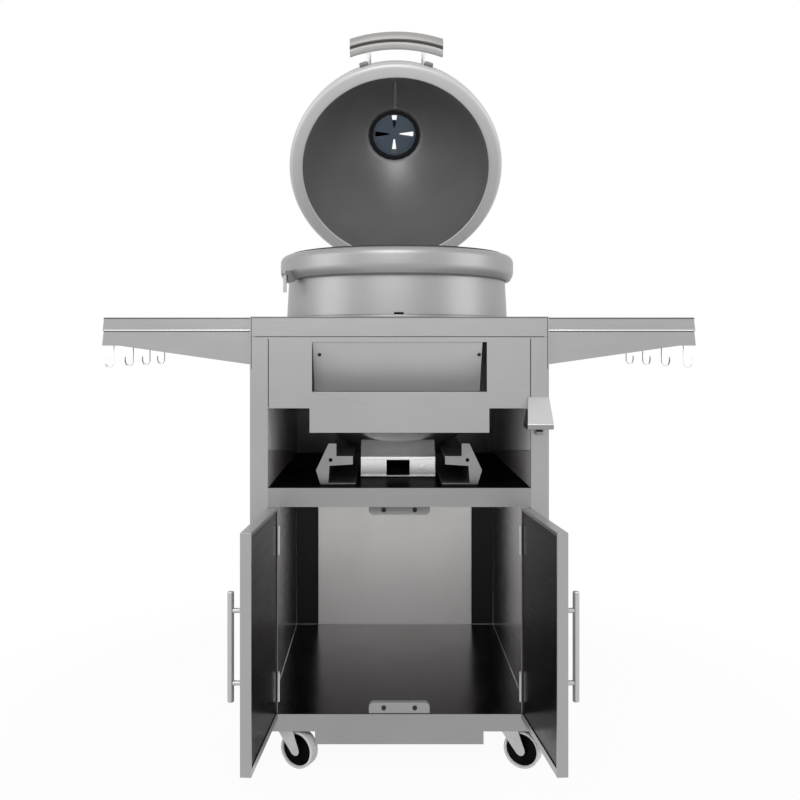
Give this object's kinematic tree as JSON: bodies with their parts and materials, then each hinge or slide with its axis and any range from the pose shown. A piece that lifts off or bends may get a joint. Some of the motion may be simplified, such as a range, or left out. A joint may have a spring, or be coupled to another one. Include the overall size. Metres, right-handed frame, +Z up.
{
  "type": "kamado grill table",
  "caption": "Stainless cabinet table on casters with doors and side shelves that holds a round, thick-walled kamado grill with its hinged lid open.",
  "frame": {"origin": "on the ground, under the middle of the object's overall box", "axes": "+Z up; the doors and the front face look along -Y; +X runs to the right of a person who faces the doors"},
  "size_m": [1.2434, 1.1026, 1.6229],
  "materials": {
    "steel": "fine satin brushed sheet",
    "dark_steel": "smooth sheet that mirrors the dark inside",
    "cast_metal": "silver-grey satin coat on a casting",
    "grey_metal": "satin warm grey",
    "black_metal": "matt black",
    "slate_metal": "satin blue-grey",
    "bright_metal": "bright satin",
    "grate_steel": "round bars, lightly heat-stained",
    "felt": "pressed heat-proof felt",
    "rubber": "smooth black",
    "pale_plastic": "moulded off-white",
    "needle_red": "satin red"
  },
  "bodies": {
    "cabinet": {"worktop": "steel", "fascia_panel": "steel", "heat_shield": "steel", "kamado_shelf": "dark_steel", "cabinet_floor": "dark_steel", "back_panel": "steel", "left_side_panel": "steel", "left_side_liner": "dark_steel", "right_side_panel": "steel", "right_side_liner": "dark_steel", "lower_magnet_catch": "pale_plastic", "upper_magnet_catch": "pale_plastic", "bottle_opener": "steel", "left_shelf": "steel", "left_shelf_bracket": "steel", "right_shelf": "steel", "right_shelf_bracket": "steel", "front_left_caster_plate": "grey_metal", "front_right_caster_plate": "grey_metal", "rear_left_caster_plate": "grey_metal", "rear_right_caster_plate": "grey_metal", "kamado_bowl": "cast_metal", "rim_gasket": "felt", "trim_ring": "steel", "front_pad": "rubber", "charcoal_grate": "black_metal", "vent_housing": "bright_metal", "left_cradle_rail": "bright_metal", "right_cradle_rail": "bright_metal", "lid_hinge_base": "grey_metal", "lid_hinge_pin": "bright_metal", "latch_base": "grey_metal"},
    "lid": {"kamado_lid": "cast_metal", "lid_handle": "grey_metal", "lid_hinge_arm": "grey_metal", "vent_collar": "black_metal", "thermometer": "bright_metal"},
    "vent_damper": {"vent_damper": "slate_metal"},
    "thermometer_needle": {"thermometer_needle": "needle_red"},
    "vent_slide": {"vent_slide": "bright_metal"},
    "latch_lever": {"latch_lever": "bright_metal"},
    "cooking_grate": {"cooking_grate": "grate_steel"},
    "left_door": {"left_door": "steel", "left_door_liner": "dark_steel", "left_door_handle": "bright_metal", "left_lower_hinge_leaf": "bright_metal", "left_upper_hinge_leaf": "bright_metal"},
    "right_door": {"right_door": "steel", "right_door_liner": "dark_steel", "right_door_handle": "bright_metal", "right_lower_hinge_leaf": "bright_metal", "right_upper_hinge_leaf": "bright_metal"},
    "front_left_fork": {"front_left_caster_fork": "bright_metal"},
    "front_left_wheel": {"front_left_caster_wheel": "rubber"},
    "front_right_fork": {"front_right_caster_fork": "bright_metal"},
    "front_right_wheel": {"front_right_caster_wheel": "rubber"},
    "rear_left_fork": {"rear_left_caster_fork": "bright_metal"},
    "rear_left_wheel": {"rear_left_caster_wheel": "rubber"},
    "rear_right_fork": {"rear_right_caster_fork": "bright_metal"},
    "rear_right_wheel": {"rear_right_caster_wheel": "rubber"}
  },
  "joints": [
    {"name": "lid_hinge", "type": "hinge", "parent": "cabinet", "child": "lid", "pos_m": [0, 0.33361, 1.035], "axis": [1, 0, 0], "range_deg": [-14, 59]},
    {"name": "vent_damper_turn", "type": "hinge", "parent": "lid", "child": "vent_damper", "pos_m": [0, 0.47619, 1.46366], "axis": [0, 0.8572, 0.515], "range_deg": [-45, 45]},
    {"name": "thermometer_needle_turn", "type": "hinge", "parent": "lid", "child": "thermometer_needle", "pos_m": [0, 0.29914, 1.58848], "axis": [0, 0.0835, 0.9965], "range_deg": [-270, 0]},
    {"name": "vent_slide_travel", "type": "slide", "parent": "cabinet", "child": "vent_slide", "axis": [1, 0, 0], "range_m": [-0.052, 0]},
    {"name": "latch_lever_swing", "type": "hinge", "parent": "cabinet", "child": "latch_lever", "pos_m": [-0.25032, -0.09349, 1.0245], "axis": [0.4695, -0.8829, 0], "range_deg": [-150, 0]},
    {"name": "cooking_grate_lift", "type": "slide", "parent": "cabinet", "child": "cooking_grate", "axis": [0, 0, -1], "range_m": [-0.06, 0]},
    {"name": "left_door_hinge", "type": "hinge", "parent": "cabinet", "child": "left_door", "pos_m": [-0.2625, -0.28939, 0], "axis": [0, 0, 1], "range_deg": [-10, 93.8]},
    {"name": "right_door_hinge", "type": "hinge", "parent": "cabinet", "child": "right_door", "pos_m": [0.2625, -0.28939, 0], "axis": [0, 0, 1], "range_deg": [-95.2, 10]},
    {"name": "front_left_swivel", "type": "hinge", "parent": "cabinet", "child": "front_left_fork", "pos_m": [-0.229, -0.23839, 0], "axis": [0, 0, 1], "continuous": true},
    {"name": "front_left_wheel_spin", "type": "hinge", "parent": "front_left_fork", "child": "front_left_wheel", "pos_m": [-0.20428, -0.25154, 0.038], "axis": [0.4695, 0.8829, 0], "continuous": true},
    {"name": "front_right_swivel", "type": "hinge", "parent": "cabinet", "child": "front_right_fork", "pos_m": [0.229, -0.23839, 0], "axis": [0, 0, 1], "continuous": true},
    {"name": "front_right_wheel_spin", "type": "hinge", "parent": "front_right_fork", "child": "front_right_wheel", "pos_m": [0.25372, -0.25154, 0.038], "axis": [0.4695, 0.8829, 0], "continuous": true},
    {"name": "rear_left_swivel", "type": "hinge", "parent": "cabinet", "child": "rear_left_fork", "pos_m": [-0.229, 0.30761, 0], "axis": [0, 0, 1], "continuous": true},
    {"name": "rear_left_wheel_spin", "type": "hinge", "parent": "rear_left_fork", "child": "rear_left_wheel", "pos_m": [-0.20428, 0.32075, 0.038], "axis": [-0.4695, 0.8829, 0], "continuous": true},
    {"name": "rear_right_swivel", "type": "hinge", "parent": "cabinet", "child": "rear_right_fork", "pos_m": [0.229, 0.30761, 0], "axis": [0, 0, 1], "continuous": true},
    {"name": "rear_right_wheel_spin", "type": "hinge", "parent": "rear_right_fork", "child": "rear_right_wheel", "pos_m": [0.25372, 0.32075, 0.038], "axis": [-0.4695, 0.8829, 0], "continuous": true}
  ]
}
